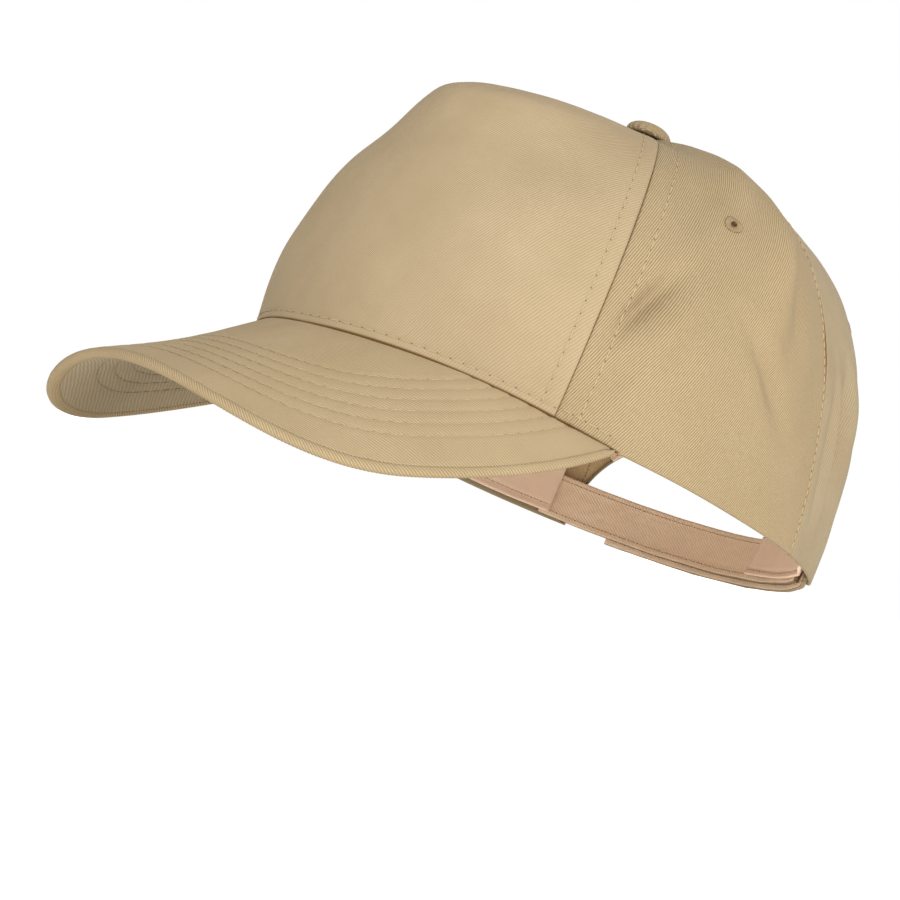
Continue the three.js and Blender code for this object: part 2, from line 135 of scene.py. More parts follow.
# The acrylic looks like even white paper, with hardly a shadow on it.
bm = bmesh.new()
bmesh.ops.create_circle(bm, cap_ends=True, segments=96, radius=floor_radius)
acrylic, acrylic_shader = new_material("white acrylic sheet, lit from below", "#F7F6F3", 0.9)
acrylic_shader.inputs["Emission Color"].default_value = linear("#FFFFFF")
acrylic_shader.inputs["Emission Strength"].default_value = acrylic_glow
floor = finished("studio_floor", bm, acrylic)

world = bpy.data.worlds.new("studio")
bpy.context.scene.world = world
world.use_nodes = True
background = world.node_tree.nodes["Background"]
background.inputs["Color"].default_value = linear("#FFFFFF")
background.inputs["Strength"].default_value = 1.0


def soft_light(name, azimuth, elevation, distance, width, power):
    """A square diffuser that faces the cap. Azimuth is measured as the view's is."""
    light = bpy.data.lights.new(name, "AREA")
    light.shape = "SQUARE"
    light.size = width
    light.energy = power
    lamp = bpy.data.objects.new(name, light)
    bpy.context.scene.collection.objects.link(lamp)
    a, e = math.radians(azimuth), math.radians(elevation)
    away = Vector((math.sin(a) * math.cos(e), -math.cos(a) * math.cos(e), math.sin(e)))
    lamp.location = distance * away
    lamp.rotation_euler = away.to_track_quat("Z", "Y").to_euler()


soft_light("key_diffuser", 66, 17, 1.7, 0.7, 29)
soft_light("back_diffuser", 215, 22, 1.8, 1.0, 6.5)

# The crown: five gores of cotton twill, one wide one over the forehead and two on each side. They are
# sewn edge to edge, the seam allowances are pressed open and stitched down, and the rim is turned up.
rim_half_length = 100
rim_half_width = 91
rim_back_spread = 0.1
rim_power = 1.92
crown_height = 110
crown_top_offset = -5.4
front_seam_angle = 57
back_seam_angle = 115
crown_profiles = [
    # angle round the head, then how the profile leaves the rim (lean, rise) and meets the top (wide, top)
    (0, -0.1, 0.8, 1.0, -0.07),
    (front_seam_angle, 0.2, 0.76, 0.39, 0.04),
    (90, 0.02, 0.68, 0.76, 0.03),
    (back_seam_angle, -0.08, 0.61, 0.75, 0.0),
    (180, 0.11, 0.79, 0.84, -0.04),
]
peak_corner_angle = 69
peak_drop = 0.79
peak_lift = 0.0025
peak_bow = 0.0065
junction_fade = 5
crest_centre_height = 42
near_side_lift = 11.5e-6  # the soft peak bends up a little more on the wearer's left


def smoothstep(value, low, high):
    """A soft step from 0 at low to 1 at high."""
    share = np.clip((value - low) / (high - low), 0, 1)
    return share * share * (3 - 2 * share)


def rim_point(angle):
    """The rim's plan, by the angle round the head from the front, in degrees."""
    across, along = np.sin(np.radians(angle)), np.cos(np.radians(angle))
    x = rim_half_width * (1 - rim_back_spread * along) * np.sign(across) * np.abs(across) ** (2 / rim_power)
    y = -rim_half_length * np.sign(along) * np.abs(along) ** (2 / rim_power)
    return x, y


def peak_fall(x, y):
    """How far the peak's curved sheet has dropped at a place of the plan."""
    forward = -(y + rim_half_length)
    return peak_drop * forward - peak_lift * forward * np.abs(forward) + peak_bow * x * x


peak_corner_x, peak_corner_y = rim_point(peak_corner_angle)


def peak_height(x, y):
    """The peak's top face, which meets the rim's plane at the peak's two corners."""
    lift = near_side_lift * np.maximum(x, 0) ** 2 * (peak_corner_y - y)
    return peak_fall(peak_corner_x, peak_corner_y) - peak_fall(x, y) + lift


def edge_height(x, y):
    """The crown's lower edge, which rises over the peak and is level behind the peak's corners."""
    on_peak = 1 - smoothstep(y, peak_corner_y, peak_corner_y + junction_fade)
    return np.maximum(0, peak_height(x, y)) * on_peak


def profile_at(angle):
    """The profile values between the rows of the table, on one smooth curve."""
    rows = np.array(crown_profiles)
    before = rows[1] * [-1, 1, 1, 1, 1]
    after = rows[3] * [-1, 1, 1, 1, 1] + [360, 0, 0, 0, 0]
    rows = np.vstack([before, rows, after])
    around = np.abs((angle + 180) % 360 - 180)
    i = np.clip(np.searchsorted(rows[:, 0], around, side="right") - 1, 1, len(rows) - 3)
    knots, values = rows[:, 0], rows[:, 1:]
    span = knots[i + 1] - knots[i]
    u = ((around - knots[i]) / span)[..., None]
    slope_from = (values[i + 1] - values[i - 1]) * (span / (knots[i + 1] - knots[i - 1]))[..., None]
    slope_to = (values[i + 2] - values[i]) * (span / (knots[i + 2] - knots[i]))[..., None]
    mixed = (2 * u**3 - 3 * u**2 + 1) * values[i] + (u**3 - 2 * u**2 + u) * slope_from
    mixed += (3 * u**2 - 2 * u**3) * values[i + 1] + (u**3 - u**2) * slope_to
    return np.moveaxis(mixed, -1, 0)


def bezier(t, a, b, c, d):
    """A cubic curve from a to d, drawn towards b and c."""
    s = 1 - t
    return s**3 * a + 3 * s**2 * t * b + 3 * s * t**2 * c + t**3 * d


def unit(vectors):
    return vectors / np.maximum(np.linalg.norm(vectors, axis=-1, keepdims=True), 1e-9)


pressed_forms = {
    # height up the profile, spread, millimetres outwards
    "face": [(0.1, 0.075, 1.35), (0.39, 0.1, -2.6), (0.555, 0.035, 0.6)],
    "top": [(0.8, 0.13, -4.2)],
    "back": [(0.08, 0.18, 0.9), (0.4, 0.2, 0.4), (0.68, 0.15, 1.3)],
}


def crest(angle, t):
    """How far the pressed cloth stands off the smooth shape, in millimetres: fuller over the peak, flatter
    up to the crest, lower from the crest to the button, and slightly full behind."""
    around = np.abs(angle)
    reach = {
        "face": 1 - smoothstep(around, 30, 54),
        "top": 1 - smoothstep(around, 60, 88),
        "back": smoothstep(around, 80, 100),
    }
    out = 0
    for part, humps in pressed_forms.items():
        for height, spread, amount in humps:
            out = out + reach[part] * amount * np.exp(-(((t - height) / spread) ** 2))
    return out


def crown_point(angle, t):
    """The crown's smooth outer face, with t rising from 0 at the rim to 1 under the button."""
    angle, t = np.broadcast_arrays(np.asarray(angle, float), np.asarray(t, float))
    x, y = rim_point(angle)
    low = edge_height(x, y)
    lean, rise, wide, top = profile_at(angle)
    share = bezier(t, 1, 1 + lean, wide, 0)
    height = bezier(t, low, low + rise * crown_height, crown_height * (1 + top), crown_height)
    point = np.stack([x * share, y * share + crown_top_offset * (1 - share), height], -1)
    outward = unit(point - [0, crown_top_offset, crest_centre_height])
    return point + crest(angle, t)[..., None] * outward


def crown_normal(angle, t):
    """The outward direction of the crown's smooth face."""
    step, turn = 0.01, 0.5
    up = crown_point(angle, np.minimum(1, t + step)) - crown_point(angle, np.maximum(0, t - step))
    around = crown_point(angle + turn, t) - crown_point(angle - turn, t)
    return unit(np.cross(around, up))


fold_strength = 2.2
fold_narrowing = 0.8
fold_free_height = 0.12  # the stitched rim stays smooth
wall_length = 1.5 * crown_height
folds = [
    # angle, height, turn, length, width, depth: soft dents in millimetres, and ridges where depth is negative
    (63.5, 0.2, 25, 13, 3.2, 1.8),
    (69, 0.18, 25, 18, 6, -1.6),
    (67, 0.42, 12, 22, 7, 0.9),
    (82, 0.62, 6, 18, 5.5, -1.1),
    (64, 0.08, 30, 10, 4, 1.3),
    (91, 0.45, 4, 26, 7, -1.6),
    (98, 0.42, 4, 24, 6, 0.9),
    (99, 0.68, 2, 18, 7, 1.1),
    (92, 0.21, -55, 14, 5, 1.3),
    (119, 0.16, 3, 24, 2.4, 0.45),
    (122.5, 0.2, -2, 26, 2.6, -0.5),
    (126, 0.24, 6, 22, 4, 1.1),
    (131, 0.28, -6, 22, 6, -1.2),
    (-68, 0.26, -20, 18, 7, 2.0),
    (-84, 0.34, 12, 24, 8, -1.6),
    (-97, 0.24, 30, 16, 6, 1.6),
    (-128, 0.25, -8, 20, 6, 1.5),
]


def fold_depth(angle, t):
    """How far the folds draw the wall inwards, in millimetres."""
    at = crown_point(angle, t)
    radius = np.hypot(at[..., 0], at[..., 1])
    depth = np.zeros(np.shape(radius))
    for fold_angle, height, turn, length, width, deep in folds:
        side = np.radians(angle - fold_angle) * radius
        rise = (t - height) * wall_length
        lean = math.radians(turn)
        across = side * math.cos(lean) - rise * math.sin(lean)
        along = side * math.sin(lean) + rise * math.cos(lean)
        depth += deep * np.exp(-((across / (width * fold_narrowing)) ** 2) - (along / length) ** 2)
    return fold_strength * depth * smoothstep(t, 0, fold_free_height)


def bump_field(u, v, size, seed):
    """Gentle unevenness of a soft surface, between about -1 and 1, with bumps of the size given."""
    flat = zip(np.ravel(u) / size, np.ravel(v) / size)
    return np.reshape([noise.noise(Vector((a, b, seed))) for a, b in flat], np.shape(u))


crowding = 0.75


def crowded(count, ends):
    """Places from 0 to 1, drawn closer together at both ends or at the low one."""
    share = np.linspace(0, 1, count)
    if ends == "both":
        return share - crowding * np.sin(2 * np.pi * share) / (2 * np.pi)
    return share - crowding * np.sin(np.pi * share) / np.pi


seam_roll_depth, seam_roll_width = 0.3, 0.4
seam_shade_width = 0.15
allowance_lift = 0.2
row_groove_depth, row_groove_width = 0.16, 0.7
pucker_height, pucker_width = 0.08, 1.6
junction_roll_depth, junction_groove_depth = 0.25, 0.2
bar_height, bar_rib_height, bar_rib_pitch = 0.6, 0.28, 1.4
soft_bumps = ((0.62, 26, 0), (0.2, 9, 5))  # height, size, step of the seed
gore_taper = 0.4
arch_hem_share = 0.15
stitch_pitch = 4.2
close_pitch = 2.8
front_row_distance = 4.6
side_row_distance = 6.0
back_row_distance = 1.7
centre_row_distance = 4.0
junction_row_height = 2.9
shell_thickness = 0.7
hem_section = [(1.6, 6.0), (1.6, 3.0), (1.6, 0.9), (1.4, 0.3), (0.9, 0.0), (0.35, 0.08)]  # depth, rise
fold_start = 0.5
arch_half_angle = 39
arch_height = 46
arch_power = 2.5
profile_top = 0.985


def seam_relief(distance, along, row):
    """Outward relief beside a sewn seam: rolled into the seam, raised over the allowance up to its row."""
    roll = -seam_roll_depth * np.exp(-((distance / seam_roll_width) ** 2))
    raised = allowance_lift * (smoothstep(distance, 0.4, 1.8) - smoothstep(distance, row - 0.4, row + 1.4))
    sunk = -row_groove_depth * np.exp(-(((distance - row) / row_groove_width) ** 2))
    pucker = pucker_height * np.cos(2 * np.pi * along / stitch_pitch)
    return roll + raised + sunk + pucker * np.exp(-(((distance - row) / pucker_width) ** 2))


def path_lengths(points, axis):
    """Distances from the first row or column of a grid of points."""
    steps = np.linalg.norm(np.diff(points, axis=axis), axis=-1)
    start = np.zeros_like(np.take(steps, [0], axis=axis))
    return np.cumsum(np.concatenate([start, steps], axis=axis), axis=axis)


def profile_at_height(angle, height):
    """The place up the profile, as a share, where the crown reaches a height."""
    low, high = np.zeros_like(angle), np.full_like(angle, 0.6)
    for _ in range(30):
        middle = (low + high) / 2
        below = crown_point(angle, middle)[..., 2] < height
        low, high = np.where(below, middle, low), np.where(below, high, middle)
    return (low + high) / 2


def cloth_grid(bm, points, flat_across, flat_along, seam_shade=None):
    """Lays a sheet on a grid of points, with a UV map in millimetres of cloth and an attribute that is 1
    where the cloth turns into a seam."""
    rows, columns = points.shape[:2]
    uv_layer = bm.loops.layers.uv.get("UVMap") or bm.loops.layers.uv.new("UVMap")
    shade_layer = bm.verts.layers.float.get("seam_shade") or bm.verts.layers.float.new("seam_shade")
    new_verts = bmesh.ops.create_grid(bm, x_segments=columns - 1, y_segments=rows - 1, size=0.5)["verts"]
    order = np.array([(v.co.y + 0.5) * (rows - 1) for v in new_verts]).round().astype(int) * columns
    order += np.array([(v.co.x + 0.5) * (columns - 1) for v in new_verts]).round().astype(int)
    placed = to_world(points.reshape(-1, 3))[order]
    flat = np.stack([flat_across.ravel(), flat_along.ravel()], -1)[order]
    for vert, place in zip(new_verts, placed):
        vert.co = place
    if seam_shade is not None:
        for vert, value in zip(new_verts, seam_shade.ravel()[order]):
            vert[shade_layer] = value
    flat_at = dict(zip(new_verts, flat))
    for face in {f for v in new_verts for f in v.link_faces}:
        for loop in face.loops:
            loop[uv_layer].uv = flat_at[loop.vert]


def gore(angle, edge_rise, rows, seams, rows_beside, softness, seed):
    """One panel of the crown, from the turned-up hem inside the rim to the button. angle and edge_rise give
    each column's place and the height of its lower edge, seams the angles of its two seams, and rows_beside
    the distance of the stitches from each. A bar of close stitches holds the hem behind each front seam."""
    t_low = np.where(edge_rise > 0, profile_at_height(angle, edge_rise), 0.0)
    t_first = profile_at_height(angle, crown_point(angle, t_low)[:, 2] + fold_start)
    share = crowded(rows, "low")[:, None]
    t = t_first + (profile_top - t_first) * share
    around = angle + np.zeros((rows, 1))
    sample = np.linspace(0, 1, 81)[:, None]
    lengths = path_lengths(crown_point(angle + 0 * sample, sample + 0 * angle), 0)
    climbed = np.stack([np.interp(t[:, i], sample[:, 0], lengths[:, i]) for i in range(len(angle))], 1)
    base = crown_point(around, t)
    normal = crown_normal(around, t)
    radius = np.hypot(base[..., 0], base[..., 1])
    arc_radius = gore_taper * radius + (1 - gore_taper) * radius[0]
    flat = np.radians(around - (seams[0] + seams[1]) / 2) * arc_radius
    relief = -fold_depth(around, t)
    for height, size, step in soft_bumps:
        relief += softness * height * bump_field(flat, climbed, size, seed + step)
    for seam, row in zip(seams, rows_beside):
        relief += seam_relief(np.radians(np.abs(around - seam)) * radius, climbed, row)
    over_peak = np.abs(around) < peak_corner_angle
    relief -= junction_roll_depth * np.exp(-((climbed / row_groove_width) ** 2)) * over_peak
    sewn = np.exp(-(((climbed - junction_row_height) / row_groove_width) ** 2)) * over_peak
    relief -= junction_groove_depth * sewn * (1 - 0.4 * np.cos(2 * np.pi * flat / stitch_pitch))
    barred = smoothstep(np.abs(around), front_seam_angle + 1, front_seam_angle + 3)
    barred = barred * (1 - smoothstep(np.abs(around), peak_corner_angle - 2, peak_corner_angle + 1))
    barred = barred * smoothstep(climbed, 0.5, 1.0) * (1 - smoothstep(climbed, 2.7, 3.2))
    relief += barred * (bar_height + bar_rib_height * np.cos(2 * np.pi * flat / bar_rib_pitch))
    wall = base + relief[..., None] * normal
    edge = crown_point(angle, t_low) + relief[0, :, None] * normal[0]
    into_cloth = unit(np.cross(normal[0], np.gradient(edge, axis=0)))
    into_cloth = into_cloth * np.where(edge_rise > 0, arch_hem_share, 1.0)[:, None]
    hem = [edge + into_cloth * rise - normal[0] * depth for depth, rise in hem_section]
    hem_up = [climbed[0] - fold_start - rise - depth for depth, rise in hem_section]
    nearest = np.minimum(np.abs(around - seams[0]), np.abs(around - seams[1]))
    from_seam = np.radians(nearest) * radius
    from_seam = np.where(over_peak, np.minimum(from_seam, climbed - climbed[0]), from_seam)
    shade = np.exp(-((from_seam / seam_shade_width) ** 2))
    def with_hem(grid):
        return np.concatenate([np.tile(grid[0], (len(hem), 1)), grid])
    return {
        "points": np.concatenate([hem, wall]), "shade": with_hem(shade),
        "across": with_hem(flat), "along": np.concatenate([hem_up, climbed]),
        "wall": wall, "normal": normal, "angle": around, "climbed": climbed, "radius": radius,
    }


def node_adder(tree):
    """A function that adds a node with its settings and links. A key such as i0 or s1 is an input's number,
    linked or set, and any other key is a property of the node."""
    def add(kind, **settings):
        node = tree.nodes.new(kind)
        for key, value in settings.items():
            if key[0] == "i" and key[1:].isdigit():
                tree.links.new(value, node.inputs[int(key[1:])])
            elif key[0] == "s" and key[1:].isdigit():
                node.inputs[int(key[1:])].default_value = value
            else:
                setattr(node, key, value)
        return node
    return add


cloth_roughness, cloth_gloss = 0.86, 0.12
seam_shadow = "#5F4426"


def twill(name, colours, pitch, turn, contrast, depth, waver):
    """Cotton twill: fine slanted ridges of thread with shadow between them, on cloth that is slightly
    uneven in tone. pitch, depth and waver are in millimetres, turn is the ridges' angle to the cloth's
    width, and contrast says how dark the eye finds the gaps between the ridges."""
    material, shader = new_material(name, colours["thread"], cloth_roughness)
    tree = material.node_tree
    add = node_adder(tree)
    cloth = add("ShaderNodeUVMap", uv_map="UVMap").outputs[0]
    turned = add("ShaderNodeMapping", i0=cloth, s2=(0, 0, math.radians(-turn))).outputs[0]
    drift = add("ShaderNodeTexNoise", i0=cloth, s2=0.12, s3=2.0).outputs["Color"]
    shifted = add("ShaderNodeVectorMath", operation="MULTIPLY_ADD", i0=drift, s1=(0, waver, 0), i2=turned)
    row = add("ShaderNodeSeparateXYZ", i0=shifted.outputs[0]).outputs[1]
    phase = add("ShaderNodeMath", operation="MULTIPLY", i0=row, s1=2 * math.pi / pitch).outputs[0]
    wave = add("ShaderNodeMath", operation="COSINE", i0=phase).outputs[0]
    ridge = add("ShaderNodeMath", operation="MULTIPLY_ADD", i0=wave, s1=0.5, s2=0.5).outputs[0]
    stretched = add("ShaderNodeMapping", i0=turned, s3=(0.55, 2.2, 1)).outputs[0]
    slub = add("ShaderNodeTexNoise", i0=stretched, s2=1.0, s3=3.0, s4=0.6).outputs[0]
    height = add("ShaderNodeMath", operation="MULTIPLY_ADD", i0=slub, s1=0.7, i2=ridge).outputs[0]
    weave = add("ShaderNodeMapRange", i0=height, s1=0.15, s2=1.55).outputs[0]
    tone = add("ShaderNodeTexNoise", i0=cloth, s2=0.035, s3=4.0, s4=0.6).outputs[0]
    tone_share = add("ShaderNodeMapRange", i0=tone, s1=0.3, s2=0.7).outputs[0]
    lit = add("ShaderNodeMix", data_type="RGBA", i0=tone_share,
              s6=linear(colours["thread"]), s7=linear(colours["worn"])).outputs[2]
    shade = add("ShaderNodeMapRange", i0=weave, s3=contrast, s4=0.0).outputs[0]
    gaps = linear(colours["shade"])
    colour = add("ShaderNodeMix", data_type="RGBA", i0=shade, i6=lit, s7=gaps).outputs[2]
    seam = add("ShaderNodeAttribute", attribute_name="seam_shade").outputs["Fac"]
    colour = add("ShaderNodeMix", data_type="RGBA", i0=seam, i6=colour, s7=linear(seam_shadow)).outputs[2]
    tree.links.new(colour, shader.inputs["Base Color"])
    bump = add("ShaderNodeBump", s0=0.9, s1=depth * millimetre, i3=weave)
    tree.links.new(bump.outputs[0], shader.inputs["Normal"])
    shader.inputs["Specular IOR Level"].default_value = cloth_gloss
    return material


# To the eye the shell is one warm khaki: close and smooth on the pressed front, plainly ribbed on the soft
# sides, greyer behind and darker there with painted shade, and painted paler inside, as painted light on the
# shaded inner faces.
khaki = {"thread": "#99886B", "worn": "#A19073", "shade": "#6A5739"}
front_khaki = {"thread": "#948367", "worn": "#9C8B6F", "shade": "#675437"}
# Greyer than the sides, and darker as painted shade where the back gets less light.
back_khaki_with_painted_shade = {"thread": "#8B7B61", "worn": "#95876D", "shade": "#675840"}
# The inner side is painted paler than the outside: painted light on the shaded inner faces.
inside_khaki_painted_light = {"thread": "#BFA680", "worn": "#C7AF8A", "shade": "#957C55"}
inside_twill_painted_light = twill("cotton twill, inner side with painted light", inside_khaki_painted_light, 0.7, 67, 0.4, 0.06, 0.5)
front_twill = twill("pressed cotton twill", front_khaki, 0.74, 64, 0.38, 0.13, 0.5)
side_twill = twill("soft cotton twill", khaki, 0.64, 72, 0.95, 0.12, 0.5)
back_twill_painted_shade = twill("greyer cotton twill, back, with painted shade", back_khaki_with_painted_shade, 0.66, 72, 0.6, 0.06, 0.5)

front_columns = crowded(230, "both")
side_columns = crowded(160, "both")
rim_columns = back_seam_angle + (180 - arch_half_angle - back_seam_angle) * crowded(90, "low")
arch_turn = np.radians(np.linspace(0, 84, 71)[1:])
arch_share = np.cos(arch_turn) ** (2 / arch_power)
arch_share = np.concatenate([arch_share, np.geomspace(arch_share[-1], 0.002, 14)[1:], [0]])
arch_columns = 180 - arch_half_angle * arch_share
arch_rise = arch_height * (1 - arch_share**arch_power) ** (1 / arch_power)
back_angles = np.concatenate([rim_columns, arch_columns])
back_rise = np.concatenate([0 * rim_columns, arch_rise])
side_angles = front_seam_angle + (back_seam_angle - front_seam_angle) * side_columns
front_angles = front_seam_angle * (2 * front_columns - 1)
gores = {
    "front_panel": gore(front_angles, 0 * front_angles, 120, (-front_seam_angle, front_seam_angle),
                        (front_row_distance, front_row_distance), 0.5, 1.7),
}
for name, angles, rise, rows, seams, stitched, seeds in (
    ("side_panel_", side_angles, 0 * side_angles, 130, (front_seam_angle, back_seam_angle),
     (side_row_distance, back_row_distance), (9.2, 15.4)),
    ("back_panel_", back_angles, back_rise, 120, (back_seam_angle, 180),
     (back_row_distance, centre_row_distance), (23.1, 31.9)),
):
    gores[name + "left"] = gore(angles, rise, rows, seams, stitched, 1.0, seeds[0])
    mirrored = (-seams[1], -seams[0])
    gores[name + "right"] = gore(-angles[::-1], rise[::-1], rows, mirrored, stitched[::-1], 1.0, seeds[1])
panel_finish = {"front": front_twill, "side": side_twill, "back": back_twill_painted_shade}

eyelet_places = {
    # panel, angle, height up the profile
    "eyelet_side_left": ("side_panel_left", 77, 0.453),
    "eyelet_side_right": ("side_panel_right", -77, 0.453),
    "eyelet_back_left": ("back_panel_left", 146, 0.5),
    "eyelet_back_right": ("back_panel_right", -146, 0.5),
}
panel_hole_radius = 1.7


def wall_frame(angle, t):
    """The place and outward direction of a point of the folded wall, in the cap's own frame."""
    step, turn = 0.01, 1.0
    def folded(a, b):
        return crown_point(a, b) - fold_depth(a, b)[..., None] * crown_normal(a, b)
    up = folded(angle, t + step) - folded(angle, t - step)
    around = folded(angle + turn, t) - folded(angle - turn, t)
    return folded(angle, t), unit(np.cross(around, up))


def dress(piece, node):
    """Puts a finished piece in the place of its plain solid."""
    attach(piece, "root")
    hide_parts(node)


def give_thickness(piece, thickness):
    """Thickens a sheet behind the face that is modelled, by millimetres."""
    solid = piece.modifiers.new("cloth thickness", "SOLIDIFY")
    solid.thickness = thickness * millimetre
    solid.offset = -1
    return solid


for node, sheet in gores.items():
    bm = bmesh.new()
    cloth_grid(bm, sheet["points"], sheet["across"], sheet["along"], sheet["shade"])
    for panel_name, angle, t in eyelet_places.values():
        if panel_name == node:
            centre = Vector(to_world(wall_frame(angle, t)[0]))
            reach = panel_hole_radius * millimetre
            cut = [f for f in bm.faces if (f.calc_center_median() - centre).length < reach]
            bmesh.ops.delete(bm, geom=cut, context="FACES")
    panel = finished(node + "_cloth", bm, panel_finish[node.split("_")[0]])
    # The inner faces take the paler twill, which is painted light on the shaded inside.
    panel.data.materials.append(inside_twill_painted_light)
    give_thickness(panel, shell_thickness).material_offset = 1
    dress(panel, node)

# The sewing of the crown: lockstitch in cotton thread of the cloth's own colour, in rows beside each seam
# and above the peak. At each end of a stitch a small dark disc is painted shade in the needle's hole.
thread_sides, thread_rings = 6, 5
thread_roughness, thread_gloss = 0.75, 0.15
half_stitch = 0.4  # of the way between two needle holes
hole_depth = 0.1
side_hem_lift = 0.7


def thread(name, colour, shade):
    """Twisted cotton sewing thread, which looks matt and finely flecked where its strands cross."""
    material, shader = new_material(name, colour, thread_roughness)
    tree = material.node_tree
    add = node_adder(tree)
    place = add("ShaderNodeTexCoord").outputs["Object"]
    strands = add("ShaderNodeTexNoise", i0=place, s2=2200.0, s3=2.0).outputs[0]
    flecked = add("ShaderNodeMix", data_type="RGBA", i0=strands, s6=linear(shade), s7=linear(colour))
    tree.links.new(flecked.outputs[2], shader.inputs["Base Color"])
    shader.inputs["Specular IOR Level"].default_value = thread_gloss
    return material


shell_thread = thread("cotton sewing thread, khaki", "#B39F7D", "#8E7A58")
needle_hole_painted_shade, _ = new_material("painted shade in needle hole", "#5C4326", 0.95)


def on_line(distance, distances, values):
    """The place at a distance along a line of places, or the direction there."""
    return np.array([np.interp(distance, distances, values[:, i]) for i in range(3)])


def sew(name, rows, thread_material, thread_radius=0.17, hole_radius=0.28):
    """Rows of stitches as one piece. Each row is a line of points on the cloth with the outward directions,
    the length from one needle hole to the next, and where the first stitch starts."""
    whole = bmesh.new()
    for points, normals, pitch, phase in rows:
        distance = np.concatenate([[0], np.cumsum(np.linalg.norm(np.diff(points, axis=0), axis=1))])
        bm = bmesh.new()
        for k in range(int((distance[-1] - phase) / pitch)):
            middle = phase + (k + 0.5) * pitch
            half = pitch * half_stitch
            places = (middle - half, middle + half, middle, middle + pitch / 2)
            start, end, at, hole = (on_line(place, distance, points) for place in places)
            outward = on_line(middle, distance, normals)
            lie = unit(end - start)
            side = unit(np.cross(outward, lie))
            outward = np.cross(lie, side)
            axes = Matrix(np.stack([side, outward, lie], 1).tolist()).to_4x4()
            size = Matrix.Diagonal((thread_radius, thread_radius, half, 1))
            place = Matrix.Translation(at + outward * thread_radius * 0.35)
            bmesh.ops.create_uvsphere(bm, u_segments=thread_sides, v_segments=thread_rings, radius=1,
                                      matrix=cap_to_world @ place @ axes @ size)
            # A flat dark disc in the next needle hole: painted shade in the hole.
            size = Matrix.Diagonal((hole_radius * 0.8, hole_depth, hole_radius, 1))
            made = bmesh.ops.create_uvsphere(bm, u_segments=thread_sides, v_segments=4, radius=1,
                                             matrix=cap_to_world @ Matrix.Translation(hole) @ axes @ size)
            for face in {f for v in made["verts"] for f in v.link_faces}:
                face.material_index = 1
        stitches = bpy.data.meshes.new("row of stitches")
        bm.to_mesh(stitches)
        bm.free()
        whole.from_mesh(stitches)
        bpy.data.meshes.remove(stitches)
    piece = finished(name, whole, thread_material)
    piece.data.materials.append(needle_hole_painted_shade)
    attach(piece, "root")


def line_beside_seam(sheet, seam, distance):
    """The line up a panel at a distance from its seam."""
    apart = np.radians(np.abs(sheet["angle"] - seam)) * sheet["radius"]
    points, normals = [], []
    for j in range(apart.shape[0]):
        order = np.argsort(apart[j])
        if apart[j, order[-1]] < distance * 2:
            break
        points.append(on_line(distance, apart[j, order], sheet["wall"][j, order]))
        normals.append(on_line(distance, apart[j, order], sheet["normal"][j, order]))
    return np.array(points), np.array(normals)


def line_above_edge(sheet, height, keep):
    """The line along a panel at a height above its lower edge, over the columns that keep names."""
    points, normals = [], []
    for i in range(sheet["angle"].shape[1]):
        if keep(sheet["angle"][0, i]):
            up = sheet["climbed"][:, i]
            points.append(on_line(height, up, sheet["wall"][:, i]))
            normals.append(on_line(height, up, sheet["normal"][:, i]))
    return np.array(points), np.array(normals)


crown_rows = []
for side, hand in ((1, "left"), (-1, "right")):
    for panel, seam, distance, pitch in (
        ("front_panel", front_seam_angle, front_row_distance, stitch_pitch),
        ("side_panel_" + hand, front_seam_angle, side_row_distance, stitch_pitch),
        ("side_panel_" + hand, back_seam_angle, back_row_distance, close_pitch),
        ("back_panel_" + hand, 180, centre_row_distance, stitch_pitch),
    ):
        crown_rows.append((*line_beside_seam(gores[panel], side * seam, distance), pitch, 1))
for panel, height, keep in (
    ("front_panel", junction_row_height, lambda a: abs(a) < front_seam_angle - 0.4),
    ("side_panel_left", junction_row_height + side_hem_lift, lambda a: a < peak_corner_angle - 1),
    ("side_panel_right", junction_row_height + side_hem_lift, lambda a: a > 1 - peak_corner_angle),
):
    crown_rows.append((*line_above_edge(gores[panel], height, keep), stitch_pitch, 0.5))
sew("crown_stitching", crown_rows, shell_thread)

# The peak: a stiff board between two pieces of twill. The top cloth is rolled round the edge and sewn to
# the under cloth, and six rows of stitches hold the layers together.
peak_reach = 53
peak_flare_out, peak_flare_forward = 11.3, 34
peak_front_half_flat = 89.5
peak_edge_lift = 1.3
peak_thickness = 3.0
peak_under_depth = peak_thickness - 0.1
peak_sink = 0.05
peak_tuck = 1.2
peak_end_margin = 0.012
peak_row_insets = (11.5, 15.8, 20.1, 24.4, 28.7, 33)
peak_stitch_pitch = 4.6
quilt_depth, quilt_width = 0.22, 0.75
top_cloth_thickness, roll_thickness, under_cloth_thickness = 1.2, 0.6, 1.0
thread_bed = 0.16
rib_pitch, rib_slant, rib_height = 1.15, 1.1, 0.06
roll_section = [
    # inset from the edge, depth below the top face
    (2.2, 0.0), (1.4, 0.03), (0.72, 0.2), (0.27, 0.62), (0.04, 1.15), (0.06, 1.8), (0.32, 2.4), (0.82, 2.8),
    (1.5, 3.0), (2.3, 3.0), (3.0, 2.85),
]


def peak_edge(along):
    """The peak's outer edge in plan, with along running from -1 to 1 across the peak."""
    t = 1 - np.abs(along)
    front = -(rim_half_length + peak_reach)
    x = bezier(t, peak_corner_x, peak_corner_x + peak_flare_out, peak_front_half_flat, 0)
    y = bezier(t, peak_corner_y, peak_corner_y - peak_flare_forward, front, front)
    return np.stack([np.sign(along) * x, y], -1)


def peak_inner(along):
    """The peak's inner edge in plan, tucked under the crown."""
    angle = along * peak_corner_angle
    inward = crown_normal(angle, 0 * angle)[..., :2]
    x, y = rim_point(angle)
    return np.stack([x, y], -1) - peak_tuck * unit(inward)


def peak_width(along):
    return np.linalg.norm(peak_inner(along) - peak_edge(along), axis=-1)


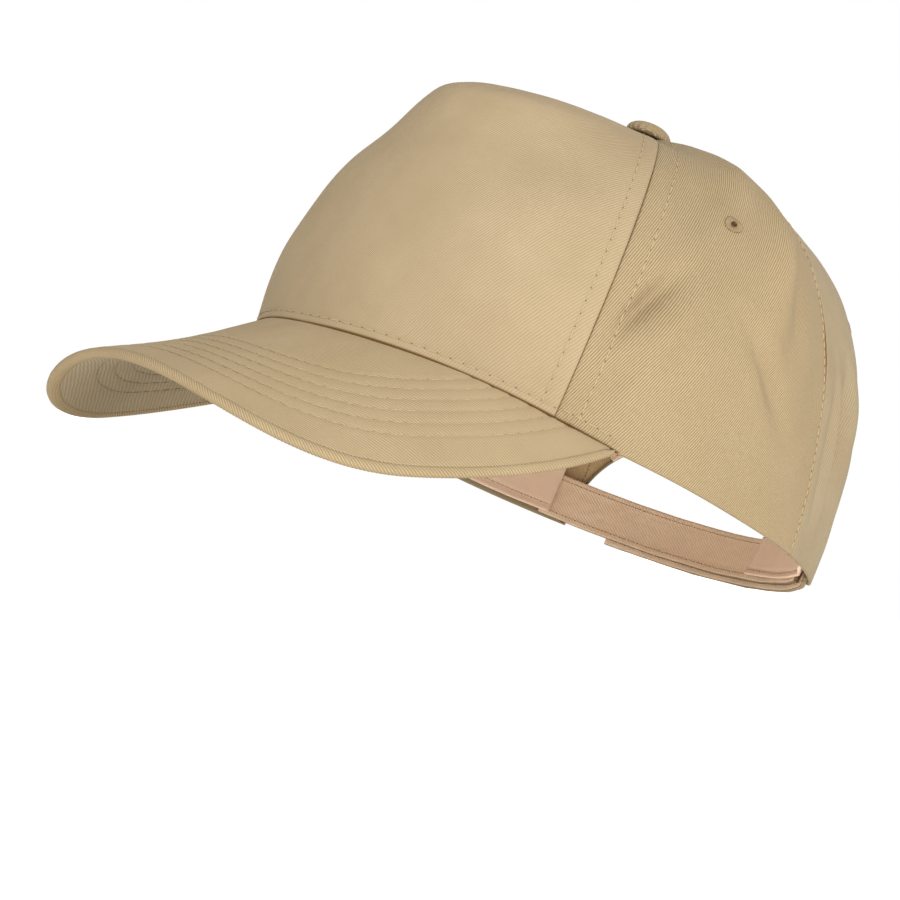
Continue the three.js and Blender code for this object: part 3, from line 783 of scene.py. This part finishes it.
def peak_place(along, inset, depth):
    """A point of the peak, by its distance in from the edge and its depth below the top face, and the
    top face's normal there."""
    edge, share = peak_edge(along), inset / peak_width(along)
    plan = edge + (peak_inner(along) - edge) * share[..., None]
    x, y = plan[..., 0], plan[..., 1]
    step = 0.5
    slope_x = (peak_height(x + step, y) - peak_height(x - step, y)) / (2 * step)
    slope_y = (peak_height(x, y + step) - peak_height(x, y - step)) / (2 * step)
    normal = unit(np.stack([-slope_x, -slope_y, np.ones_like(x)], -1))
    top = np.stack([x, y, peak_height(x, y) - peak_sink + peak_edge_lift * (1 - share)], -1)
    return top - depth[..., None] * normal, normal


fine = np.linspace(-1 + peak_end_margin, 1 - peak_end_margin, 2001)
edge_line = peak_place(fine, 0 * fine, 0 * fine)[0]
edge_distance = np.concatenate([[0], np.cumsum(np.linalg.norm(np.diff(edge_line, axis=0), axis=1))])


def peak_columns(count):
    """Places along the peak's edge, evenly spaced on the cloth."""
    return np.interp(np.linspace(0, edge_distance[-1], count), edge_distance, fine)


def quilting(inset, along_distance):
    """The relief of the stitched rows: a narrow groove at each, and the cloth slightly puffed between."""
    relief = 0
    for row in peak_row_insets:
        pull = 1 + 0.35 * np.cos(2 * np.pi * along_distance / peak_stitch_pitch)
        relief = relief - quilt_depth * pull * np.exp(-(((inset - row) / quilt_width) ** 2))
    return relief


def peak_sheet(columns, rows, first_inset, depth, sign, seed):
    """The top or under cloth of the peak, as a grid from the edge inwards, with its flat places."""
    along = np.tile(peak_columns(columns), (rows, 1))
    width = peak_width(along)
    first = np.minimum(first_inset, 0.8 * width)
    inset = first + (width - first) * np.linspace(0, 1, rows)[:, None]
    place, normal = peak_place(along, inset, np.full_like(inset, depth))
    flat_x, flat_y = place[..., 0], place[..., 1]
    relief = quilting(inset, np.interp(along, fine, edge_distance))
    relief = relief + 0.35 * bump_field(flat_x, flat_y, 34, seed)
    relief += 0.1 * bump_field(flat_x, flat_y, 7, seed + 3)
    relief *= smoothstep(inset - first, 0, 2)
    return place + (sign * relief)[..., None] * normal, flat_x, flat_y


# The peak looks firmer and smoother than the crown. Its ribs are fine on top, bold where the cloth is drawn
# round the edge, and dull and greyish on the underside.
peak_khaki = {"thread": "#9A886A", "worn": "#A29072", "shade": "#6A593C"}
under_khaki = {"thread": "#8E8066", "worn": "#97896F", "shade": "#665B46"}
peak_cloth = twill("fine cotton twill over board", peak_khaki, 0.66, 35, 0.6, 0.06, 0.8)
roll_cloth = twill("cotton twill drawn round the edge", peak_khaki, 0.72, 42, 0.8, 0.12, 0.3)
under_cloth = twill("cotton twill under the peak", under_khaki, 0.9, -35, 0.6, 0.12, 0.8)

bm = bmesh.new()
cloth_grid(bm, *peak_sheet(300, 90, 2.0, 0.0, 1, 3.3))
peak_cover = finished("peak_top_cloth", bm, peak_cloth)
give_thickness(peak_cover, top_cloth_thickness)
dress(peak_cover, "peak_top")

bm = bmesh.new()
along = np.tile(peak_columns(1000), (len(roll_section), 1))
section = np.array(roll_section)[:, None]
inset = section[..., 0] * np.minimum(1, peak_width(along) / 5)
points = peak_place(along, inset, section[..., 1] + 0 * inset)[0]
section_length = path_lengths(points, 0)
edge_run = np.interp(along, fine, edge_distance)
outward = unit(np.cross(np.gradient(points, axis=0), np.gradient(points, axis=1)))
ribs = np.cos(2 * np.pi * (edge_run - rib_slant * section_length) / rib_pitch)
hold = smoothstep(section_length, 0.3, 1.8)
points = points + ((0.03 + rib_height * ribs) * hold)[..., None] * outward
cloth_grid(bm, points[::-1], edge_run, section_length[::-1])
peak_roll = finished("peak_rolled_edge", bm, roll_cloth)
give_thickness(peak_roll, roll_thickness)
dress(peak_roll, "peak_top")

bm = bmesh.new()
cloth_grid(bm, *(grid[:, ::-1] for grid in peak_sheet(260, 60, 2.7, peak_under_depth, -1, 8.1)))
peak_lining = finished("peak_under_cloth", bm, under_cloth)
give_thickness(peak_lining, under_cloth_thickness)
dress(peak_lining, "peak_under")


def peak_rows(depth, sign):
    """The stitched rows, each as far along as the peak is wide enough."""
    rows = []
    along = peak_columns(600)
    for inset in peak_row_insets:
        held = along[peak_width(along) > inset + 1.5]
        place, normal = peak_place(held, np.full_like(held, inset), np.full_like(held, depth))
        rows.append((place - thread_bed * sign * normal, sign * normal, peak_stitch_pitch, 0.0))
    return rows


peak_thread = thread("cotton sewing thread, light", "#AD9B79", "#8F7D5D")
sew("peak_stitching", peak_rows(0.0, 1), peak_thread, 0.13, 0.14)
under_thread = thread("cotton sewing thread, olive", "#94876D", "#7E715A")
sew("peak_under_stitching", peak_rows(peak_under_depth, -1), under_thread, 0.12, 0.1)

# The sweatband: a strip of soft cotton that lies inside the rim, sewn along its lower edge and folded up.
# Below it shows the turned-up hem of the shell. Its near end runs on as a low tail over the strap's root.
band_top = 24.5
band_bottom_behind = 1.5
band_bottom_on_peak = -4.4
band_ends = (-137, 171)
band_tail_top = 15.6
band_depth = 3.3
band_thickness = 1.0
band_stitch_pitch = 3.6
band_roll_height, band_groove_depth, band_groove_rise = 0.3, 0.25, 2.2
band_step_in, band_step_angles = 1.5, (127, 133)
band_tail_step_in, band_tail_angles = 1.2, (139, 147)


def band_points(angle, rows, seed):
    """The band's visible inner face, from its lower edge up."""
    around = np.abs(angle)
    x, y = rim_point(angle)
    low = edge_height(x, y)
    under_peak = 1 - smoothstep(around, peak_corner_angle - 18, peak_corner_angle - 6)
    bottom = low + band_bottom_behind + (band_bottom_on_peak - band_bottom_behind) * under_peak
    share = np.linspace(0, 1, rows)[:, None]
    on_strap = smoothstep(angle, *band_tail_angles)
    top = band_top + on_strap * (band_tail_top - band_top)
    height = bottom + (low + top - bottom) * share
    t = profile_at_height(angle + 0 * height, np.maximum(height, low + 0.01))
    place = crown_point(angle + 0 * t, t)
    normal = crown_normal(angle + 0 * t, t)
    depth = band_depth + band_step_in * smoothstep(around, *band_step_angles) + band_tail_step_in * on_strap
    run = path_lengths(place, 1)
    relief = 0.35 * bump_field(run, height, 16, seed) + 0.12 * bump_field(run, height, 5, seed + 2)
    rise = height - bottom
    relief += band_roll_height * np.exp(-((rise / 1.2) ** 2))
    relief -= band_groove_depth * np.exp(-(((rise - band_groove_rise) / 0.6) ** 2))
    place = place - (depth + relief)[..., None] * normal
    place[..., 2] = np.where(height < low, height, place[..., 2])
    return place, -normal, run, height


# It is a matt pinkish beige, with a weave too fine to stand out.
sweat_colours = {"thread": "#E3C9B2", "worn": "#EAD2BD", "shade": "#C1A38D"}
sweat_cotton = twill("soft cotton sweatband", sweat_colours, 0.7, 20, 0.3, 0.05, 0.6)
bm = bmesh.new()
band_angles = np.linspace(*band_ends, 420)
points, band_normal, run, height = band_points(band_angles, 30, 4.4)
cloth_grid(bm, points[:, ::-1], run[:, ::-1], height[:, ::-1])
sweatband = finished("sweatband_cotton", bm, sweat_cotton)
give_thickness(sweatband, band_thickness)
dress(sweatband, "sweatband")
band_thread = thread("cotton sewing thread, pink beige", "#D8B89D", "#A98A70")
groove = 3  # the grid's row in the groove above the lower edge
sew("sweatband_stitching", [(points[groove], band_normal[groove], band_stitch_pitch, 0.0)], band_thread)

# The strap: two lengths of doubled twill that cross the arched opening and lap over each other. Each is
# hemmed along both edges, and its end is stitched across.
strap_width = 15
strap_thickness = 1.1
strap_lap = 1.5
strap_root_depth = 1.85
strap_columns, strap_grid_rows = 260, 27
strap_hem_height, strap_groove_depth = 0.22, 0.12
strap_stitch_pitch, strap_end_pitch = 3.4, 3.0


def strap_points(angles, bottom, depth_at, seed):
    """A strap's grid along the rim, at the depth below the crown's face that depth_at gives, and how far
    the hem stands up on it."""
    angle = np.linspace(*angles, strap_columns)
    share = np.linspace(0, 1, strap_columns)
    rise = np.linspace(0, strap_width, strap_grid_rows)[:, None]
    t = profile_at_height(angle + 0 * rise, np.maximum(bottom + rise, 0.5) + 0 * angle)
    place = crown_point(angle + 0 * t, t)
    normal = crown_normal(angle + 0 * t, t)
    run = path_lengths(place, 1)
    rise = rise + 0 * run
    from_rim = np.minimum(np.minimum(rise, strap_width - rise), np.minimum(run, run[:, -1:] - run))
    hem = strap_hem_height * (1 - smoothstep(from_rim, 1.9, 2.6))
    hem -= strap_groove_depth * np.exp(-(((from_rim - 1.7) / 0.35) ** 2))
    crease = 0.45 * bump_field(run, rise, 14, seed) + 0.14 * bump_field(run, 2 * rise, 4, seed)
    place = place - (depth_at(share) + 0 * run)[..., None] * normal
    place[..., 2] = bottom + rise
    return place + crease[..., None] * normal, normal, run, rise, hem


# The strap's inner face is a bright pinkish tan: khaki with painted light, the warm light bounced from the
# sweatband, and shadow in its ribs. Its outer face is the shell's twill.
strap_tan_with_painted_bounce = {"thread": "#E5CDB2", "worn": "#ECD6BD", "shade": "#BFA387"}
strap_cloth = twill("doubled cotton twill strap", strap_tan_with_painted_bounce, 0.8, 35, 0.5, 0.1, 0.8)
straps = {
    # ends along the rim, height of the lower edge, depth below the crown's face, seed
    "strap_inner": ((145.5, 225), 0.5,
                    lambda share: strap_root_depth + strap_lap * smoothstep(1 - share, 0.1, 0.9), 6.1),
    "strap_outer": ((135, 210), -1.3,
                    lambda share: strap_root_depth - strap_lap * smoothstep(share, 0.1, 0.9), 12.7),
}
strap_rows = []
for node, (angles, bottom, depth_at, seed) in straps.items():
    middle, normal, run, rise, hem = strap_points(angles, bottom, depth_at, seed)
    outer = middle + hem[..., None] * normal
    inner = middle - (strap_thickness + hem)[..., None] * normal
    bm = bmesh.new()
    cloth_grid(bm, outer, run, rise)
    for face in bm.faces:
        face.material_index = 1
    cloth_grid(bm, inner[:, ::-1], run[:, ::-1], rise[:, ::-1])
    bmesh.ops.bridge_loops(bm, edges=[e for e in bm.edges if e.is_boundary])
    strap = finished(node + "_cloth", bm, strap_cloth)
    strap.data.materials.append(side_twill)
    dress(strap, node)
    for face_points, face_normal in ((outer, normal), (inner, -normal)):
        for j in (3, -4):
            strap_rows.append((face_points[j, 4:-4], face_normal[j, 4:-4], strap_stitch_pitch, 0.0))
        for i in (5, -6):
            strap_rows.append((face_points[3:-3, i], face_normal[3:-3, i], strap_end_pitch, 0.0))
strap_thread = thread("cotton sewing thread, brown", "#C9AC8D", "#9C8065")
sew("strap_stitching", strap_rows, strap_thread)

# The arch's facing: a bias tape of soft cotton, sewn with two rows round the inside of the arched opening.
# It covers the raw edge of the two back panels.
tape_width = 7
tape_half_growth = 4
tape_thickness = 0.8
tape_depth = 2.1
tape_start = 30
tape_turn = np.radians(np.linspace(tape_start, 180 - tape_start, 200))
tape_share = np.linspace(0, 1, 14)[:, None]
across_arch = np.sign(np.cos(tape_turn)) * np.abs(np.cos(tape_turn)) ** (2 / arch_power)
tape_angle = 180 - (arch_half_angle + tape_share * tape_half_growth) * across_arch
tape_height = (arch_height + tape_share * tape_width) * np.sin(tape_turn) ** (2 / arch_power)
t = profile_at_height(tape_angle, tape_height)
tape_normal = crown_normal(tape_angle, t)
tape_hem = 0.18 * np.exp(-((np.minimum(tape_share, 1 - tape_share) * tape_width) ** 2))
inwards = fold_depth(tape_angle, t) + tape_depth + tape_thickness + tape_hem
tape_points = crown_point(tape_angle, t) - inwards[..., None] * tape_normal
run = path_lengths(tape_points, 1)
bm = bmesh.new()
cloth_grid(bm, tape_points, run, tape_share * tape_width + 0 * run)
bmesh.ops.reverse_faces(bm, faces=bm.faces)
# The same pinkish tan with painted bounce light as the strap, but flatter, with its weave running slantwise.
tape_cloth = twill("cotton bias tape", strap_tan_with_painted_bounce, 0.7, 45, 0.4, 0.08, 0.6)
tape = finished("arch_tape_cloth", bm, tape_cloth)
give_thickness(tape, tape_thickness)
dress(tape, "arch_tape")
tape_rows = [(tape_points[j], -tape_normal[j], strap_stitch_pitch, 0.0) for j in (2, -3)]
sew("arch_tape_stitching", tape_rows, strap_thread)

# The button: a domed metal blank covered with a disc of the shell's twill, gathered underneath and riveted
# through the top of the crown.
button_base = 0.9
pleat_count, pleat_height = 22, 0.2
button_outline = [
    # radius, height above the button's base: the shank, the gathered underside, then the dome
    (0.0, -3.3), (2.5, -3.3), (2.5, 0.0), (5.6, 0.0), (6.7, 0.15), (7.15, 0.6), (7.3, 1.25), (7.1, 2.1),
    (6.5, 2.95), (5.4, 3.7), (3.9, 4.25), (2.0, 4.55), (0.0, 4.6),
]
bm = bmesh.new()
verts = [bm.verts.new((r, 0, button_base + z)) for r, z in button_outline]
edges = [bm.edges.new(pair) for pair in zip(verts, verts[1:])]
bmesh.ops.spin(bm, geom=verts + edges, axis=(0, 0, 1), cent=(0, 0, 0), angle=2 * math.pi,
               steps=72, use_merge=True)
bmesh.ops.remove_doubles(bm, verts=bm.verts, dist=1e-4)
bmesh.ops.recalc_face_normals(bm, faces=bm.faces)
bmesh.ops.subdivide_edges(bm, edges=bm.edges, cuts=1, use_grid_fill=True, smooth=0.6)
uv_layer = bm.loops.layers.uv.get("UVMap") or bm.loops.layers.uv.new("UVMap")
to_ribs = Matrix.Rotation(math.radians(-50), 2)  # the disc of cloth lies with its ribs this way
to_twill = Matrix.Rotation(math.radians(72), 2)
for face in bm.faces:
    for loop in face.loops:
        x, y, z = loop.vert.co
        loop[uv_layer].uv = to_twill @ (to_ribs @ Vector((x, y)) + Vector((0, z)))
for vert in bm.verts:
    radius = math.hypot(vert.co.x, vert.co.y)
    turn = math.atan2(vert.co.y, vert.co.x)
    gathered = float(smoothstep(radius, 5.2, 7.2)) * (1 - float(smoothstep(vert.co.z, 2.2, 4.6)))
    pleat = pleat_height * gathered * math.cos(pleat_count * turn + 1.5 * math.sin(3 * turn))
    vert.co.x *= 1 + pleat / max(radius, 1)
    vert.co.y *= 1 + pleat / max(radius, 1)
    vert.co += Vector((0, crown_top_offset, crown_height))
bmesh.ops.transform(bm, matrix=cap_to_world, verts=bm.verts)
button = finished("covered_button", bm, side_twill)
dress(button, "button")

# The eyelets: small air holes through the panels, each edged inside and out with a ring of close radial
# stitches in thick cotton thread. The thread has the shell's colour, and the hole looks dark brown.
ring_radius = 1.9
ring_section = (1.05, 0.34)
ring_heights = (-0.1, -shell_thickness - 0.35)
thread_turns = 30
thread_relief, ring_unevenness, thread_unevenness = 0.15, 0.05, 0.06
hole_radius = 0.9
eyelet_thread = thread("cotton eyelet thread", "#968466", "#6E5B3D")
hole_shade, _ = new_material("shadowed eyelet hole", "#5A4025", 0.95)
for name, (_, angle, t) in eyelet_places.items():
    at, outward = wall_frame(angle, t)
    turned = Vector(outward).to_track_quat("Z", "Y").to_matrix().to_4x4()
    bm = bmesh.new()
    for face_height in ring_heights:
        section = Matrix.Translation((ring_radius, 0, face_height)) @ Matrix.Rotation(math.pi / 2, 4, "X")
        circle = bmesh.ops.create_circle(bm, segments=10, radius=1,
                                         matrix=section @ Matrix.Diagonal((*ring_section, 1, 1)))
        edges = list({e for v in circle["verts"] for e in v.link_edges})
        bmesh.ops.spin(bm, geom=circle["verts"] + edges, axis=(0, 0, 1), cent=(0, 0, 0), angle=2 * math.pi,
                       steps=thread_turns * 4, use_merge=True)
    for vert in bm.verts:
        turn = math.atan2(vert.co.y, vert.co.x)
        threads = math.cos(thread_turns * turn)
        uneven = 1 + ring_unevenness * math.sin(3 * turn + angle) + thread_unevenness * threads
        vert.co.x *= uneven
        vert.co.y *= uneven
        vert.co.z += thread_relief * threads * math.copysign(1, vert.co.z)
    made = bmesh.ops.create_cone(bm, segments=24, radius1=hole_radius, radius2=hole_radius, depth=2.2,
                                 cap_ends=False, matrix=Matrix.Translation((0, 0, -0.6)))
    for face in {f for v in made["verts"] for f in v.link_faces}:
        face.material_index = 1
    bmesh.ops.recalc_face_normals(bm, faces=bm.faces)
    bmesh.ops.transform(bm, matrix=cap_to_world @ Matrix.Translation(at) @ turned, verts=bm.verts)
    ring = finished(name + "_thread", bm, eyelet_thread)
    ring.data.materials.append(hole_shade)
    dress(ring, name)
